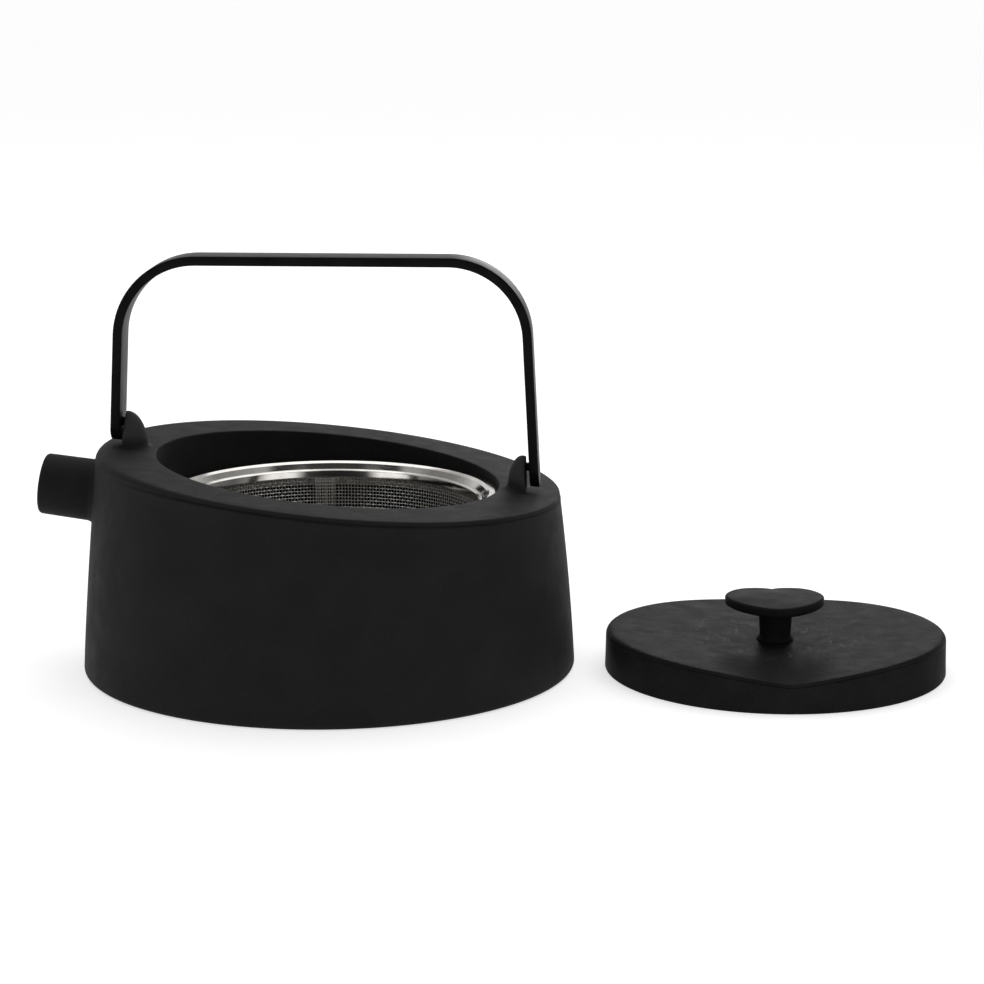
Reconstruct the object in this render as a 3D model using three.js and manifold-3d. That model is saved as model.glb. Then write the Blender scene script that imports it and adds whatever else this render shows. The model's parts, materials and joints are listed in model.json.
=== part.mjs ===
// Cast-iron teapot with a swinging bail handle, a lift-out steel tea strainer and a loose lid.
// Millimetres, +Z up. The origin is the centre of the pot's flat base, the spout points along -X,
// and the rim slopes down from the spout side to the far side. The lid lies beside the pot, turned
// a little, as it does while tea is being put in.

import * as THREE from 'three';
import { mergeVertices } from 'three/addons/utils/BufferGeometryUtils.js';
import Module from 'manifold-3d';

const wasm = await Module();
wasm.setup();

// ---------------------------------------------------------------- driving dimensions

const GAP = 0.3;                      // clearance between separate pieces
const TURN = Math.PI / 180;
const BASKET_SIDES = 48;
const ROUND_SIDES = 80;               // facets of the pot's large circles
const UP = new THREE.Vector3(0, 0, 1);

const BODY = {
  baseRadius: 90,
  lean: 0.0523,                       // radius lost per mm of height at the base
  bow: 0.00058,                       // extra radius lost with the square of the height
  wall: 5,
  floor: 5,
  baseEdge: 1.5,
  innerFillet: 6,
  swell: 1.55,                        // the wall stands this much further out by the spout,
  swellHeight: 80,                    // at this height, and less lower down
};

const RIM = {
  heightOnAxis: 72.9,
  slope: 0.1045,                      // drop per mm along +X
  deck: 6,                            // thickness of the sloping top face
};

const MOUTH = {
  radius: 63.3,
  squeeze: 0.981,                     // the mouth is a little narrower along X than along Y
  ledgeRadius: 58,
  ledgeTop: 62.9,
  ledgeThickness: 3.8,
  collar: 4,
};

const SPOUT = {
  tip: new THREE.Vector3(-105, 0, 65.9),
  rise: 7.5 * TURN,
  tipRadius: 11.1,
  rootRadius: 11.4,
  rootX: -82,
  boreRadius: 8,
  boreInside: 9,                      // how far the bore runs on past the root, into the pot
};

const BAIL = {
  top: 150.3,
  centreX: -1.15,
  halfWidth: 75.5,                    // to the outer face where the corner meets the leg
  splay: 3 * TURN,
  cornerRadius: 30.2,
  cornerSteps: 10,
  thickness: 3.4,
  width: 14,
  pivotAboveDeck: 8.6,
  holeRadius: 1.8,
};

// Each lug is a quarter dome on the deck, cut off by an outer face that the leg turns against.
const LUG = {
  inward: 6,
  halfWidth: 6.5,
  height: 12.5,
  faceOut: 1.2,                       // outer face beyond the dome's middle
  crownSides: 120,
  boreDepth: 3.2,
};

const PIN = { radius: 1.5, intoLug: 2.9, chamfer: 0.3, sides: 20 };

const BASKET = {
  flangeTop: 64,
  flangeRadius: 61,
  sheet: 0.8,
  bandRadius: 55.6,                   // inner radius of the pressed band under the flange
  bandBottom: 55.2,
  groove: 61.6,                       // height of the groove rolled into the band
  grooveDepth: 0.5,
  meshTop: 60,
  meshBottom: 16.8,
  meshTopRadius: 55.3,
  meshBottomRadius: 53.2,
  meshThickness: 0.6,
  innerBandTop: 61,
  innerBandBottom: 58.9,
  strip: 0.5,                         // sheet of the inner band and of the seam
  seamWidth: 7,
  seamAngle: 98.2 * TURN,
  ringBottom: 13.6,
  ringWidth: 2.4,
  ringBead: 0.8,
  floorTop: 15.6,
};

const LID = {
  x: 163.2,
  y: 0.2,
  turn: 3.2 * TURN,
  radius: 61.7,
  draft: 0.3,                         // extra radius at the bottom edge
  valleyHeight: 10.6,                 // the top dips along a valley line that runs front to back
  valleyRise: 0.156,
  valleyCrown: 0.00099,
  valleySoftFront: 2,                 // the valley is sharp at the front edge
  valleySoftBack: 25,                 // and fades out at the back edge
  plate: 4,
  skirt: 4.6,
};

const KNOB = {
  top: 26,
  plate: 3.6,
  halfWidth: 18.2,
  tipY: -16.7,
  lobeY: 16.9,
  notchY: 15.2,
  neckTopRadius: 6.15,
  neckBottomRadius: 5.5,
  seat: 11.2,
  spigotRadius: 3.8,
  spigotBottom: 7,
  boreRadius: 2.3,
};

const SCREW = { radius: 2, headRadius: 4.4, headHeight: 2.6, length: 11 };
const WASHER = { radius: 6.4, holeRadius: 2.3, thickness: 1 };

// ---------------------------------------------------------------- materials

const castIron = new THREE.MeshStandardMaterial({ color: 0x262526, roughness: 0.72, metalness: 0.25 });
const bailIron = new THREE.MeshStandardMaterial({ color: 0x1d1d1c, roughness: 0.45, metalness: 0.4 });
const pinSteel = new THREE.MeshStandardMaterial({ color: 0x2a2a2a, roughness: 0.5, metalness: 0.6 });
const polishedSteel = new THREE.MeshStandardMaterial({ color: 0xc9c8c4, roughness: 0.22, metalness: 1 });
const wovenSteel = new THREE.MeshStandardMaterial({ color: 0x8f8e8a, roughness: 0.35, metalness: 1 });
const lidIron = new THREE.MeshStandardMaterial({ color: 0x2b2a2a, roughness: 0.75, metalness: 0.2 });
const screwSteel = new THREE.MeshStandardMaterial({ color: 0x9a9894, roughness: 0.35, metalness: 1 });

// ---------------------------------------------------------------- solids and booleans

function solid(geometry) {
  const bare = geometry.index ? geometry.toNonIndexed() : geometry.clone();
  bare.deleteAttribute('normal');
  bare.deleteAttribute('uv');
  const merged = mergeVertices(bare, 1e-4);
  return new wasm.Manifold(new wasm.Mesh({
    numProp: 3,
    vertProperties: new Float32Array(merged.attributes.position.array),
    triVerts: new Uint32Array(merged.index.array),
  }));
}

function shell(manifold) {
  const mesh = manifold.getMesh();
  const geometry = new THREE.BufferGeometry();
  geometry.setAttribute('position', new THREE.BufferAttribute(mesh.vertProperties, 3));
  geometry.setIndex(new THREE.BufferAttribute(mesh.triVerts, 1));
  geometry.computeVertexNormals();
  return geometry;
}

// A body of revolution about Z from [radius, height] pairs that run anticlockwise.
function revolved(pairs, segments = 64) {
  const points = pairs.map(([r, z]) => new THREE.Vector2(r, z));
  return new THREE.LatheGeometry(points, segments).rotateX(Math.PI / 2);
}

function ring(pairs, segments = 64) {
  return revolved([...pairs, pairs[0]], segments);
}

function upright(radius, z0, z1, segments = 64) {
  return revolved([[0, z0], [radius, z0], [radius, z1], [0, z1]], segments);
}

// A round bar between two points, with its own radius at each end.
function bar(from, to, radiusFrom, radiusTo = radiusFrom, segments = 32) {
  const along = new THREE.Vector3().subVectors(to, from);
  const geometry = new THREE.CylinderGeometry(radiusTo, radiusFrom, along.length(), segments);
  const turn = new THREE.Quaternion().setFromUnitVectors(
    new THREE.Vector3(0, 1, 0),
    along.clone().normalize(),
  );
  const middle = new THREE.Vector3().addVectors(from, to).multiplyScalar(0.5);
  return geometry.applyQuaternion(turn).translate(middle.x, middle.y, middle.z);
}

// A slab whose underside is the sloping plane z = height - slope x.
function aboveSlope(height) {
  const reach = 400;
  const slab = new THREE.BoxGeometry(reach, reach, reach).translate(0, 0, reach / 2);
  return slab.rotateY(Math.atan(RIM.slope)).translate(0, 0, height);
}

function deckAt(x) {
  return RIM.heightOnAxis - RIM.slope * x;
}

function wallRadius(z) {
  return BODY.baseRadius - BODY.lean * z - BODY.bow * z * z;
}

function wallPoints(from, to, steps, inset = 0) {
  return Array.from({ length: steps + 1 }, (_, i) => {
    const z = from + ((to - from) * i) / steps;
    return [wallRadius(z) - inset, z];
  });
}

// Pushes the points of a pot wall outward on the spout side, more so the higher they are.
function swollen(geometry) {
  const place = geometry.attributes.position;
  for (let i = 0; i < place.count; i += 1) {
    const x = place.getX(i);
    const y = place.getY(i);
    const radius = Math.hypot(x, y);
    if (x < 0 && radius > 1) {
      const rise = (place.getZ(i) / BODY.swellHeight) ** 3;
      const scale = 1 + (BODY.swell * rise * -x) / radius ** 2;
      place.setXY(i, x * scale, y * scale);
    }
  }
  return geometry;
}

const parts = new THREE.Group();

function add(name, geometry, material) {
  const mesh = new THREE.Mesh(geometry, material);
  mesh.name = name;
  parts.add(mesh);
  return mesh;
}

// ---------------------------------------------------------------- bail pivots

const slopeAngle = Math.atan(RIM.slope);
const pivotAxis = new THREE.Vector3(Math.cos(slopeAngle), 0, -Math.sin(slopeAngle));
const pivotHeightOnAxis = RIM.heightOnAxis + BAIL.pivotAboveDeck / Math.cos(slopeAngle);
const legStart = BAIL.top - BAIL.cornerRadius;

function pivotAt(x) {
  return new THREE.Vector3(x, 0, pivotHeightOnAxis - RIM.slope * x);
}

// Distance from the bail's centre line to the outer face of a leg at height z.
function legReach(z) {
  return BAIL.halfWidth + (legStart - z) * Math.tan(BAIL.splay);
}

// One entry for each end of the bail; side is -1 by the spout and +1 opposite it. lugFace is where
// the lug's outer face crosses the pivot line, lugLean how far that face leans towards +X, and
// lugCrown its radius seen from above, which leaves room for the leg when the bail is folded.
const ENDS = [
  { name: 'left', side: -1, lugFace: -73.2, lugLean: 7 * TURN, lugCrown: 60 },
  { name: 'right', side: 1, lugFace: 72.3, lugLean: 0, lugCrown: 25 },
].map((end) => {
  const rough = pivotAt(BAIL.centreX + end.side * BAIL.halfWidth);
  const outer = BAIL.centreX + end.side * legReach(rough.z);
  return { ...end, outerX: outer, innerX: outer - end.side * BAIL.thickness };
});

// ---------------------------------------------------------------- pot body

function lugSolid(end) {
  const middle = end.lugFace - end.side * LUG.faceOut;
  const ball = new THREE.SphereGeometry(1, 32, 20);
  ball.scale(LUG.inward, LUG.halfWidth, LUG.height);
  ball.translate(middle, 0, deckAt(middle));
  const pivot = pivotAt(end.lugFace);
  const tall = 4 * LUG.height;
  const inside = upright(end.lugCrown, -tall, tall, LUG.crownSides);
  inside.translate(-end.side * end.lugCrown, 0, 0);
  inside.rotateY(end.lugLean).translate(pivot.x, 0, pivot.z);
  const fin = solid(ball).intersect(solid(inside));
  return fin.intersect(solid(aboveSlope(RIM.heightOnAxis - RIM.deck / 2)));
}

function lugBore(end) {
  const mouth = pivotAt(end.lugFace + end.side);
  const bottom = pivotAt(end.lugFace - end.side * LUG.boreDepth);
  return solid(bar(mouth, bottom, PIN.radius + GAP, PIN.radius + GAP, PIN.sides));
}

function potBody() {
  const high = 95;
  const outer = solid(swollen(revolved([
    [0, 0],
    [BODY.baseRadius - BODY.baseEdge, 0],
    [wallRadius(BODY.baseEdge), BODY.baseEdge],
    ...wallPoints(12, high, 7),
    [0, high],
  ], ROUND_SIDES))).subtract(solid(aboveSlope(RIM.heightOnAxis)));

  const collarRadius = MOUTH.radius + MOUTH.collar;
  const ledgeBottom = MOUTH.ledgeTop - MOUTH.ledgeThickness;
  const cavity = solid(swollen(revolved([
    [0, BODY.floor],
    [wallRadius(BODY.floor) - BODY.wall - BODY.innerFillet, BODY.floor],
    [wallRadius(BODY.floor) - BODY.wall - BODY.innerFillet * 0.3, BODY.floor + BODY.innerFillet * 0.3],
    ...wallPoints(BODY.floor + BODY.innerFillet, high, 5, BODY.wall),
    [0, high],
  ], ROUND_SIDES)))
    .subtract(solid(aboveSlope(RIM.heightOnAxis - RIM.deck)))
    .subtract(solid(upright(collarRadius, ledgeBottom, high, ROUND_SIDES)));

  const up = new THREE.Vector3(-Math.cos(SPOUT.rise), 0, Math.sin(SPOUT.rise));
  const alongTo = (x) => SPOUT.tip.clone().addScaledVector(up, (SPOUT.tip.x - x) / Math.cos(SPOUT.rise));
  const spout = solid(bar(alongTo(SPOUT.rootX), SPOUT.tip, SPOUT.rootRadius, SPOUT.tipRadius, 36));
  const boreStart = alongTo(SPOUT.rootX + SPOUT.boreInside);
  const bore = solid(bar(boreStart, alongTo(SPOUT.tip.x - 4), SPOUT.boreRadius));

  const mouth = upright(MOUTH.radius, MOUTH.ledgeTop, high, ROUND_SIDES).scale(MOUTH.squeeze, 1, 1);

  let body = outer
    .subtract(cavity)
    .subtract(solid(mouth))
    .subtract(solid(upright(MOUTH.ledgeRadius, ledgeBottom - 5, high, ROUND_SIDES)))
    .add(spout)
    .subtract(bore);
  for (const end of ENDS) {
    body = body.add(lugSolid(end)).subtract(lugBore(end));
  }
  return shell(body);
}

add('pot_body', potBody(), castIron);

// ---------------------------------------------------------------- bail handle and its pins

// The bail seen from the front: a flat bar bent into an inverted U with splayed legs.
function bailOutline(footZ) {
  const turn = Math.PI / 2 - BAIL.splay;
  const side = (sign, inset) => {
    const radius = BAIL.cornerRadius - inset;
    const cx = BAIL.halfWidth - BAIL.cornerRadius;
    const foot = [legReach(footZ) - inset, footZ];
    const arc = Array.from({ length: BAIL.cornerSteps + 1 }, (_, i) => {
      const a = BAIL.splay + (turn * i) / BAIL.cornerSteps;
      return [cx + radius * Math.cos(a), legStart + radius * Math.sin(a)];
    });
    return [foot, ...arc].map(([x, z]) => new THREE.Vector2(BAIL.centreX + sign * x, z));
  };
  return new THREE.Shape([
    ...side(1, 0),
    ...side(-1, 0).reverse(),
    ...side(-1, BAIL.thickness),
    ...side(1, BAIL.thickness).reverse(),
  ]);
}

function bailHandle() {
  const footZ = 50;
  const flat = new THREE.ExtrudeGeometry(bailOutline(footZ), {
    depth: BAIL.width,
    bevelEnabled: false,
  });
  flat.translate(0, 0, -BAIL.width / 2).rotateX(Math.PI / 2);
  const strap = solid(flat);
  const upperPart = strap.intersect(solid(aboveSlope(pivotHeightOnAxis)));
  const [start, end] = [pivotAt(-BODY.baseRadius), pivotAt(BODY.baseRadius)];
  const roundEnds = strap.intersect(solid(bar(start, end, BAIL.width / 2, BAIL.width / 2, 40)));
  const hole = solid(bar(start, end, BAIL.holeRadius, BAIL.holeRadius, PIN.sides));
  return shell(upperPart.add(roundEnds).subtract(hole));
}

add('bail_handle', bailHandle(), bailIron);

// A plain pin: its tail sits in the lug and its head is flush with the outside of the leg.
function pivotPin(end) {
  const head = (end.outerX - end.lugFace) * end.side / pivotAxis.x - GAP;
  const geometry = revolved([
    [0, -PIN.intoLug],
    [PIN.radius - PIN.chamfer, -PIN.intoLug],
    [PIN.radius, PIN.chamfer - PIN.intoLug],
    [PIN.radius, head - PIN.chamfer],
    [PIN.radius - PIN.chamfer, head],
    [0, head],
  ], PIN.sides);
  const axis = pivotAxis.clone().multiplyScalar(end.side);
  const turn = new THREE.Quaternion().setFromUnitVectors(UP, axis);
  const origin = pivotAt(end.lugFace);
  return geometry.applyQuaternion(turn).translate(origin.x, origin.y, origin.z);
}

for (const end of ENDS) {
  add(`${end.name}_pivot_pin`, pivotPin(end), pinSteel);
}

// ---------------------------------------------------------------- tea strainer

function meshRadius(z) {
  const t = (BASKET.meshTop - z) / (BASKET.meshTop - BASKET.meshBottom);
  return BASKET.meshTopRadius + (BASKET.meshBottomRadius - BASKET.meshTopRadius) * t;
}

// The pressed rim: a flat flange that turns down into a band with one rolled groove.
function strainerRim() {
  const top = BASKET.flangeTop;
  const under = top - BASKET.sheet;
  const inner = BASKET.bandRadius;
  const outer = inner + BASKET.sheet;
  const { groove, grooveDepth } = BASKET;
  return ring([
    [outer, BASKET.bandBottom],
    [outer, groove - 1.2],
    [outer - grooveDepth, groove - 0.2],
    [outer, groove + 0.6],
    [outer, under - 0.4],
    [outer + 0.6, under],
    [BASKET.flangeRadius, under],
    [BASKET.flangeRadius, top],
    [inner + 1, top],
    [inner, top - 0.9],
    [inner, groove + 0.8],
    [inner - grooveDepth, groove + 0.2],
    [inner, groove - 0.1],
    [inner, BASKET.bandBottom],
  ], BASKET_SIDES);
}

function conicalBand(bottom, top, offset, thickness) {
  return ring([
    [meshRadius(bottom) - offset, bottom],
    [meshRadius(top) - offset, top],
    [meshRadius(top) - offset - thickness, top],
    [meshRadius(bottom) - offset - thickness, bottom],
  ], BASKET_SIDES);
}

function strainerSeam() {
  const top = BASKET.innerBandBottom - GAP;
  const bottom = BASKET.meshBottom + 1;
  const middle = (top + bottom) / 2;
  const taper = BASKET.meshTopRadius - BASKET.meshBottomRadius;
  const lean = Math.atan(taper / (BASKET.meshTop - BASKET.meshBottom));
  const strip = new THREE.BoxGeometry(BASKET.strip, BASKET.seamWidth, top - bottom);
  const out = meshRadius(middle) - BASKET.meshThickness - GAP - BASKET.strip;
  return strip.rotateY(lean).translate(out, 0, middle).rotateZ(BASKET.seamAngle);
}

function strainerBottomRing() {
  const outer = meshRadius(BASKET.meshBottom);
  const inner = outer - BASKET.ringWidth;
  const top = BASKET.meshBottom - GAP;
  const bead = BASKET.ringBead;
  return ring([
    [inner + bead, BASKET.ringBottom],
    [outer - bead, BASKET.ringBottom],
    [outer, BASKET.ringBottom + bead],
    [outer, top],
    [inner, top],
    [inner, BASKET.ringBottom + bead],
  ], BASKET_SIDES);
}

function strainerFloor() {
  const radius = meshRadius(BASKET.meshBottom) - BASKET.ringWidth - GAP;
  return upright(radius, BASKET.floorTop - BASKET.meshThickness, BASKET.floorTop, BASKET_SIDES);
}

const meshWall = conicalBand(BASKET.meshBottom, BASKET.meshTop, 0, BASKET.meshThickness);
const innerBand = conicalBand(
  BASKET.innerBandBottom,
  BASKET.innerBandTop,
  BASKET.meshThickness + GAP,
  BASKET.strip,
);
add('strainer_rim', strainerRim(), polishedSteel);
add('strainer_mesh_wall', meshWall, wovenSteel);
add('strainer_inner_band', innerBand, polishedSteel);
add('strainer_seam', strainerSeam(), wovenSteel);
add('strainer_bottom_ring', strainerBottomRing(), polishedSteel);
add('strainer_mesh_floor', strainerFloor(), wovenSteel);

// ---------------------------------------------------------------- lid

function placeLid(geometry) {
  return geometry.rotateZ(LID.turn).translate(LID.x, LID.y, 0);
}

// Height of the lid's top surface at a point measured from the lid's centre.
function lidHeight(x, y) {
  const back = (y + LID.radius) / (2 * LID.radius);
  const soft = LID.valleySoftFront + (LID.valleySoftBack - LID.valleySoftFront) * back;
  return LID.valleyHeight + LID.valleyRise * (Math.hypot(x, soft) - soft) - LID.valleyCrown * x * x;
}

// A shallow cap, open below. The lathe makes its top and its ceiling flat, at two marker heights,
// and both are then bent to the valley shape.
function lidPlate() {
  const top = 100;
  const ceiling = top - LID.plate;
  const inner = LID.radius - LID.skirt;
  const rings = [0.86, 0.72, 0.58, 0.44, 0.3, 0.16];
  const cap = revolved([
    [0, ceiling],
    ...rings.map((r) => [r * inner, ceiling]).reverse(),
    [inner, ceiling],
    [inner, 0],
    [LID.radius + LID.draft - 1, 0],
    [LID.radius + LID.draft, 1],
    [LID.radius, top],
    ...rings.map((r) => [r * LID.radius, top]),
    [0, top],
  ], 72);
  const place = cap.attributes.position;
  for (let i = 0; i < place.count; i += 1) {
    if (place.getZ(i) > 50) {
      const fall = top - place.getZ(i);
      place.setZ(i, lidHeight(place.getX(i), place.getY(i)) - fall);
    }
  }
  const bore = solid(upright(KNOB.spigotRadius + GAP, -1, 30, 24));
  return placeLid(shell(solid(cap).subtract(bore)));
}

add('lid_plate', lidPlate(), lidIron);

// The heart seen from above, its point towards -Y.
function heartOutline() {
  const w = KNOB.halfWidth;
  const heart = new THREE.Shape();
  heart.moveTo(0, KNOB.notchY);
  heart.bezierCurveTo(w * 0.12, KNOB.lobeY * 1.02, w * 0.4, KNOB.lobeY * 1.02, w * 0.56, KNOB.lobeY * 0.97);
  heart.bezierCurveTo(w * 0.86, KNOB.lobeY * 0.86, w * 1.05, KNOB.lobeY * 0.45, w * 0.98, KNOB.lobeY * 0.12);
  heart.bezierCurveTo(w * 0.88, KNOB.tipY * 0.4, w * 0.42, KNOB.tipY * 0.94, 0, KNOB.tipY);
  heart.bezierCurveTo(-w * 0.42, KNOB.tipY * 0.94, -w * 0.88, KNOB.tipY * 0.4, -w * 0.98, KNOB.lobeY * 0.12);
  heart.bezierCurveTo(
    -w * 1.05, KNOB.lobeY * 0.45,
    -w * 0.86, KNOB.lobeY * 0.86,
    -w * 0.56, KNOB.lobeY * 0.97,
  );
  heart.bezierCurveTo(-w * 0.4, KNOB.lobeY * 1.02, -w * 0.12, KNOB.lobeY * 1.02, 0, KNOB.notchY);
  return heart;
}

function lidKnob() {
  const plate = new THREE.ExtrudeGeometry(heartOutline(), {
    depth: KNOB.plate,
    bevelEnabled: false,
    curveSegments: 8,
  }).translate(0, 0, KNOB.top - KNOB.plate);
  const neck = revolved([
    [0, KNOB.spigotBottom],
    [KNOB.spigotRadius, KNOB.spigotBottom],
    [KNOB.spigotRadius, KNOB.seat],
    [KNOB.neckBottomRadius + 0.8, KNOB.seat],
    [KNOB.neckBottomRadius, KNOB.seat + 1.2],
    [KNOB.neckTopRadius, KNOB.top - KNOB.plate],
    [KNOB.neckTopRadius, KNOB.top - KNOB.plate / 2],
    [0, KNOB.top - KNOB.plate / 2],
  ], 32);
  const bore = upright(KNOB.boreRadius, KNOB.spigotBottom - 1, KNOB.spigotBottom + SCREW.length, 20);
  const knob = solid(plate).add(solid(neck)).subtract(solid(bore));
  return placeLid(shell(knob));
}

add('lid_knob', lidKnob(), lidIron);

function knobWasher(top) {
  return placeLid(ring([
    [WASHER.holeRadius, top - WASHER.thickness],
    [WASHER.radius, top - WASHER.thickness],
    [WASHER.radius, top],
    [WASHER.holeRadius, top],
  ], 28));
}

function knobScrew(washerTop) {
  const seat = washerTop - WASHER.thickness - GAP;
  const bottom = seat - SCREW.headHeight;
  return placeLid(revolved([
    [0, bottom],
    [SCREW.headRadius * 0.6, bottom],
    [SCREW.headRadius, bottom + 1],
    [SCREW.headRadius, seat],
    [SCREW.radius, seat],
    [SCREW.radius, seat + SCREW.length],
    [0, seat + SCREW.length],
  ], 24));
}

const washerTop = LID.valleyHeight - LID.plate - GAP;
add('knob_washer', knobWasher(washerTop), screwSteel);
add('knob_screw', knobScrew(washerTop), screwSteel);

export default parts;
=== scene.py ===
"""Cast-iron teapot with a bail handle, a lift-out strainer and its loose lid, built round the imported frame.

All shapes are worked out in millimetres in the frame's own axes and turned into metres in make()."""

import json
import math

import bmesh
import bpy
import numpy as np
from mathutils import Matrix, Vector

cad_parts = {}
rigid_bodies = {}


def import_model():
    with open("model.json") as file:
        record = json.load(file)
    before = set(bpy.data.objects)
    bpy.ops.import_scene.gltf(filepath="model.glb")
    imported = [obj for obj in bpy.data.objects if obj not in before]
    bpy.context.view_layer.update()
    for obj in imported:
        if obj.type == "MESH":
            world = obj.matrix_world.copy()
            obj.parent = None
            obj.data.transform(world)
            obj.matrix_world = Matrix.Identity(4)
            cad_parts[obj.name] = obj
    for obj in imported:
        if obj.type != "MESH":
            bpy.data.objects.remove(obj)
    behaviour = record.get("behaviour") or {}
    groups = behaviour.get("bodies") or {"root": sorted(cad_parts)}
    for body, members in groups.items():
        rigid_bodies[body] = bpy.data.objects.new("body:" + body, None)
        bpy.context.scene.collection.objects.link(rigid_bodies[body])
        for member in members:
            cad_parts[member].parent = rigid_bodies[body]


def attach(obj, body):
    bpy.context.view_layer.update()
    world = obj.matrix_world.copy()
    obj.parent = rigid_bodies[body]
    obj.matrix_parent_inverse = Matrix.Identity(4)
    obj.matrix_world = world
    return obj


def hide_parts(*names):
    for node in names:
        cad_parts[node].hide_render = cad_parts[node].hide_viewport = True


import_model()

for stray in [o for o in bpy.data.objects if o.name in ("Cube", "Light", "Camera")]:
    bpy.data.objects.remove(stray)
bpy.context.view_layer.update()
MM = 0.001
TAU = 2 * math.pi

# ------------------------------------------------------------------ dimensions shared with the CAD, in mm

SLOPE = 0.1045  # fall of the rim plane per mm along +X
SLOPE_ANGLE = math.atan(SLOPE)
RIM_ON_AXIS = 72.9  # height of the rim plane on the pot's axis
BASE_RADIUS = 90.0
LEAN, BOW = 0.0523, 0.00058  # how far the wall leans in per mm of height and per mm squared
SWELL, SWELL_HEIGHT = 1.55, 80.0  # how far it stands out on the spout's side at that height
WALL, FLOOR, DECK = 5.0, 5.0, 6.0  # thickness of the wall, the floor and the top face
MOUTH_RADIUS, MOUTH_SQUEEZE = 63.3, 0.981  # radius along Y, and the radius along X as a part of it
COLLAR = 4.0  # thickness of the wall that runs down round the mouth
LEDGE_RADIUS, LEDGE_TOP, LEDGE_THICK = 58.0, 62.9, 3.8  # the ledge that the strainer hangs on
SPOUT_TIP = np.array([-105.0, 0.0, 65.9])
SPOUT_RISE = math.radians(7.5)
SPOUT_ALONG = np.array([-math.cos(SPOUT_RISE), 0, math.sin(SPOUT_RISE)])
SPOUT_SIDE = np.array([0.0, 1.0, 0.0])
SPOUT_UP = np.cross(SPOUT_ALONG, SPOUT_SIDE)
SPOUT_ROOT, SPOUT_END, SPOUT_BORE, SPOUT_FILLET = 11.4, 11.1, 8.0, 2.4  # radii
BAIL_TOP, BAIL_CORNER, BAIL_SPLAY = 150.3, 30.2, math.radians(3)
BAIL_X, BAIL_HALF = -1.15, 75.5  # the bail's middle, and half its width over the outer faces
BAIL_THICK, BAIL_WIDTH = 3.4, 14.0
PIVOT_ABOVE = 8.6  # from the rim plane to the pivot line
PIVOT_ON_AXIS = RIM_ON_AXIS + PIVOT_ABOVE / math.cos(SLOPE_ANGLE)
PIVOT_LINE = np.array([math.cos(SLOPE_ANGLE), 0, -math.sin(SLOPE_ANGLE)])
PIVOT_HOLE, PIN_RADIUS = 1.8, 1.5
HOLE_DEPTH, PIN_DEPTH = 3.2, 2.9  # how far they go into a lug
LUGS = {  # side, where the outer face crosses the pivot line, its lean, its crown radius, its depth inward
    "left": (-1, -73.9, math.radians(7), 60.0, 6.8),
    "right": (1, 72.2, math.radians(-1.8), 25.0, 5.7),
}
LID_X, LID_Y, LID_RADIUS, LID_TURN = 163.2, 0.2, 61.7, math.radians(3.2)


def wall_radius(z, c):
    """Outer radius of the pot at height z, where c is the cosine of the azimuth."""
    return BASE_RADIUS - LEAN * z - BOW * z * z + SWELL * (z / SWELL_HEIGHT) ** 3 * max(0, -c)


def deck_height(x):
    """Height of the rim plane at x."""
    return RIM_ON_AXIS - SLOPE * x


def pivot_point(x):
    """The point of the bail's pivot line at x."""
    return np.array([x, 0, PIVOT_ON_AXIS - SLOPE * x])


# ------------------------------------------------------------------ mesh helpers


def shade(mesh, edge_angle):
    """Smooth shading, with edges sharper than an angle in degrees left sharp."""
    mesh.shade_smooth()
    mesh.set_sharp_from_angle(angle=math.radians(edge_angle))


def make(name, verts, faces, edge_angle=30):
    """A mesh object from millimetre points, shaded smooth unless the edge angle is 0."""
    mesh = bpy.data.meshes.new(name)
    points = (np.asarray(verts, float) * MM).tolist()
    mesh.from_pydata(points, [], [tuple(int(i) for i in face) for face in faces])
    mesh.update()
    obj = bpy.data.objects.new(name, mesh)
    bpy.context.scene.collection.objects.link(obj)
    if edge_angle:
        shade(mesh, edge_angle)
    return obj


def finish_piece(obj, body, material, slot, *nodes):
    """Gives a piece its material and its body, and hides the CAD nodes that it replaces. The slot is not
    used.
    """
    obj.data.materials.clear()
    obj.data.materials.append(material)
    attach(obj, body)
    if nodes:
        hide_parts(*nodes)


def grid_faces(rows, columns, wrap_rows=False, start=0):
    """Quads over a rows by columns grid of points stored row by row. Each row is a closed ring."""
    faces = []
    for r in range(rows if wrap_rows else rows - 1):
        here, above = start + r * columns, start + (r + 1) % rows * columns
        for c in range(columns):
            c2 = (c + 1) % columns
            faces.append((here + c, here + c2, above + c2, above + c))
    return faces


def flat_caps(rows, columns, start=0):
    """Two polygons that close the first and the last row of such a grid."""
    last = start + (rows - 1) * columns
    return [tuple(range(start, start + columns))[::-1], tuple(range(last, last + columns))]


def fan_caps(rows, columns):
    """Triangles that close both rows to two points stored after the grid."""
    faces = []
    for c in range(columns):
        c2 = (c + 1) % columns
        last = (rows - 1) * columns
        faces.append((rows * columns, c2, c))
        faces.append((rows * columns + 1, last + c, last + c2))
    return faces


def closed_profile(name, profiles):
    """A solid of revolution whose outline may change round the axis.

    profiles holds, for each azimuth, the same number of (radius, height) pairs. The first and the
    last pair lie on the axis."""
    profiles = np.asarray(profiles, float)
    count, length = profiles.shape[:2]
    rows = length - 2
    angle = np.arange(count) * TAU / count
    r, z = profiles[:, 1:-1, 0], profiles[:, 1:-1, 1]
    rings = np.stack([r * np.cos(angle)[:, None], r * np.sin(angle)[:, None], z], -1)
    ends = [[0, 0, profiles[:, 0, 1].mean()], [0, 0, profiles[:, -1, 1].mean()]]
    points = np.vstack([rings.transpose(1, 0, 2).reshape(-1, 3), ends])
    return make(name, points, grid_faces(rows, count) + fan_caps(rows, count))


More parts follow.
